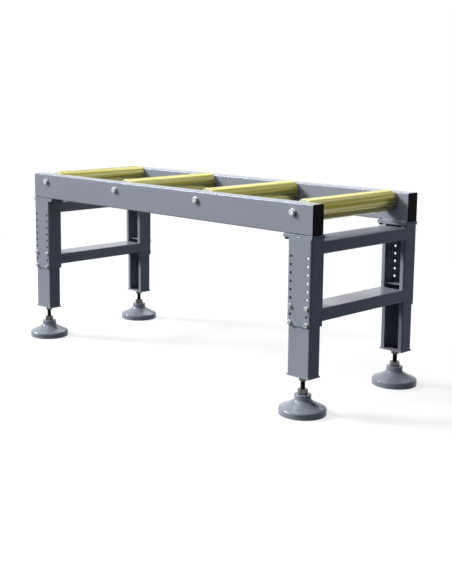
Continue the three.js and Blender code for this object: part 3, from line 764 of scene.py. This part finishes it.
for side_name, side in sides.items():
    for level_name, level in bar_levels.items():
        bar = moved(crossbar(), side * leg_middle, 0, level)
        node_name = f"crossbar_{level_name}_{side_name}"
        piece(f"cross_tube_{level_name}_{side_name}", bar, "frame", "grey_paint", [node_name], 0.4)
        welds = moved(bar_welds(level), side * leg_middle)
        piece(f"cross_weld_{level_name}_{side_name}", welds, "frame", "grey_paint")
        seams = moved(ground_seams(level), side * leg_middle)
        piece(f"ground_seam_{level_name}_{side_name}", seams, "frame", "grey_paint")


# Feet, each about its own axis


def pad():
    """Pressed levelling pad: the flat foot ring, its upright rim, the hollow cone and the collar."""
    corners = [(70, 0), (79, 0), (79, 21.1), (53.75, 31.5), (28.5, 46.5), (28.5, 65.5), (10.35, 65.5), (10.35, 35),
               (21.5, 35), (53.75, 25.5), (70, 16.5)]
    radii = [0.8, 1.2, 5.0, 9.0, 6.0, 2.8, 0.5, 0.5, 3.0, 9.0, 2.0]
    return turned(eased(corners, radii, 5), 96)


def stud_root():
    """Riveted end under the pad and the neck through its collar."""
    corners = [(0.5, 29.7), (14, 29.7), (14, 34.7), (10, 34.7), (10, 66.5), (0.5, 66.5)]
    return turned(eased(corners, [0.1, 2.0, 0.6, 0.3, 0.3, 0.1], 3), 48)


for name, side, row in places:
    x, y = side * leg_middle, row * (leg_face - foot_inward)
    slide, turning = f"leg_{name}", f"stud_{name}"
    nut = moved(hexagon(24, 109.8, 124.8, nut_bore, both=True), x, y)
    piece(f"welded_nut_{name}", nut, slide, "bright_steel", [f"weld_nut_{name}"])
    b = np.linspace(0, 2 * np.pi, 73)
    ring = np.column_stack([x + nut_weld_radius * np.cos(b), y - nut_weld_radius * np.sin(b), base_low + 0 * b])
    piece(f"nut_weld_{name}", bead(ring, (0, 0, -1), 3.6, True), slide, "grey_paint")
    # Pads take the darkened copy of the grey paint: painted shade.
    piece(f"levelling_pad_{name}", moved(pad(), x, y), f"foot_{name}", "grey_paint", [f"foot_pad_{name}"],
          finish=pad_paint_painted_shade)
    thread = moved(threaded(stud_radius, stud_pitch, 81.5, stud_top, 1.4), x, y)
    piece(f"stud_thread_{name}", thread, turning, "black_steel", [f"foot_stud_{name}"])
    head = moved(hexagon(30, 65.8, 82.8, both=True), x, y)
    piece(f"stud_hexagon_{name}", head, turning, "bright_steel")
    piece(f"stud_root_{name}", moved(stud_root(), x, y), turning, "bright_steel")


# Floor, light and camera


def seen_directly(tree):
    """1 for rays from the camera, in reflections and through glass; 0 for the light that falls on things."""
    ray = place_node(tree, "ShaderNodeLightPath").outputs
    both = place_node(tree, "ShaderNodeMath", {0: ray["Is Camera Ray"], 1: ray["Is Glossy Ray"]}, operation="MAXIMUM")
    values = {0: both.outputs[0], 1: ray["Is Transmission Ray"]}
    return place_node(tree, "ShaderNodeMath", values, operation="MAXIMUM").outputs[0]


def floor():
    """Pale floor: plain and matt to the light that falls on the conveyor, white to the camera and in reflections,
    with the conveyor's shadow kept out to 1.6 m from its middle and fading to 3.4 m."""
    mesh = bpy.data.meshes.new("floor")
    half, low = 60, -0.0003
    corners = [(-half, -half, low), (half, -half, low), (half, half, low), (-half, half, low)]
    mesh.from_pydata(corners, [], [(0, 1, 2, 3)])
    made = bpy.data.objects.new("floor", mesh)
    bpy.context.scene.collection.objects.link(made)
    material = bpy.data.materials.new("pale floor")
    material.use_nodes = True
    tree = material.node_tree
    tree.nodes.remove(tree.nodes["Principled BSDF"])
    matt = place_node(tree, "ShaderNodeBsdfDiffuse", {"Color": (0.02, 0.022, 0.026, 1)})
    pale = place_node(tree, "ShaderNodeBsdfDiffuse", {"Color": (0.95, 0.95, 0.95, 1)})
    white = place_node(tree, "ShaderNodeEmission", {"Color": (1, 1, 1, 1), "Strength": 1.0})
    where = place_node(tree, "ShaderNodeTexCoord").outputs["Object"]
    off = place_node(tree, "ShaderNodeVectorMath", {0: where}, operation="LENGTH").outputs["Value"]
    values = {"Value": off, "From Min": 1.6, "From Max": 3.4, "To Min": 0.75, "To Max": 1.0}
    share = place_node(tree, "ShaderNodeMapRange", values, interpolation_type="SMOOTHSTEP").outputs["Result"]
    shown = place_node(tree, "ShaderNodeMixShader", {0: share, 1: pale.outputs[0], 2: white.outputs[0]})
    mix = place_node(tree, "ShaderNodeMixShader", {0: seen_directly(tree), 1: matt.outputs[0], 2: shown.outputs[0]})
    tree.links.new(mix.outputs[0], tree.nodes["Material Output"].inputs["Surface"])
    mesh.materials.append(material)


def aimed(place, aim):
    """The turn and place of something that stands at place and looks along its -z at aim."""
    place, aim = np.array(place, float), np.array(aim, float)
    back = unit(place - aim)
    across = unit(np.cross((0, 0, 1) if abs(back[2]) < 0.99 else (0, 1, 0), back))
    turn = np.eye(4)
    turn[:3, 0], turn[:3, 1], turn[:3, 2], turn[:3, 3] = across, np.cross(back, across), back, place
    return Matrix(turn.tolist())


def lamp(name, place, aim, size, power):
    """A square soft lamp, in metres and watts."""
    data = bpy.data.lights.new(name, "AREA")
    data.shape, data.size, data.energy = "SQUARE", size, power
    made = bpy.data.objects.new(name, data)
    made.matrix_world = aimed(place, aim)
    bpy.context.scene.collection.objects.link(made)


def far_lamp(name, way, spread_angle, level):
    """A large lamp so far off that its light is even: way points to it, and the angle is its width in degrees."""
    data = bpy.data.lights.new(name, "SUN")
    data.energy, data.angle = level, math.radians(spread_angle)
    made = bpy.data.objects.new(name, data)
    made.matrix_world = aimed(np.array(way) * 8.0, (0, 0, 0))
    bpy.context.scene.collection.objects.link(made)


def surroundings():
    """White all round to the camera and in reflections, and a low even light on everything."""
    world = bpy.data.worlds.new("studio")
    world.use_nodes = True
    bpy.context.scene.world = world
    tree = world.node_tree
    tone = mixed(tree, seen_directly(tree), (0.024, 0.038, 0.09, 1), (1, 1, 1, 1))
    tree.links.new(tone, tree.nodes["Background"].inputs["Color"])


def camera():
    """Camera fitted to the photograph, in the photograph's pixels, radians and metres."""
    width, height, focal, axis_x, axis_y = 452, 584, 1021.96, 160, 235
    yaw, pitch, roll = 0.84061, -0.1483, 0.00137
    ahead = np.array([-math.sin(yaw) * math.cos(pitch), math.cos(yaw) * math.cos(pitch), math.sin(pitch)])
    right = np.array([math.cos(yaw), math.sin(yaw), 0.0])
    up = np.cross(right, ahead)
    turn = np.eye(4)
    turn[:3, 0] = right * math.cos(roll) + up * math.sin(roll)
    turn[:3, 1] = up * math.cos(roll) - right * math.sin(roll)
    turn[:3, 2] = -ahead
    turn[:3, 3] = (2.77643, -2.73227, 1.06365)
    data = bpy.data.cameras.new("camera")
    data.sensor_fit, data.sensor_width = "HORIZONTAL", 36.0
    data.lens = data.sensor_width * focal / width
    data.shift_x, data.shift_y = (width / 2 - axis_x) / width, (axis_y - height / 2) / width
    made = bpy.data.objects.new("camera", data)
    made.matrix_world = Matrix(turn.tolist())
    bpy.context.scene.collection.objects.link(made)
    bpy.context.scene.camera = made


floor()
far_lamp("key", (-0.7, -0.47, 0.54), 15.0, 4.2)
far_lamp("front", (-0.45, -0.85, 0.28), 12.0, 0.75)
lamp("overhead", (-0.6, -0.4, 4.2), (0, 0, 0.5), 3.2, 125)
lamp("back", (-2.1, 4.0, 4.0), (0, 0, 0.5), 3.0, 60)
surroundings()
camera()
bpy.context.scene.view_settings.view_transform = "Standard"
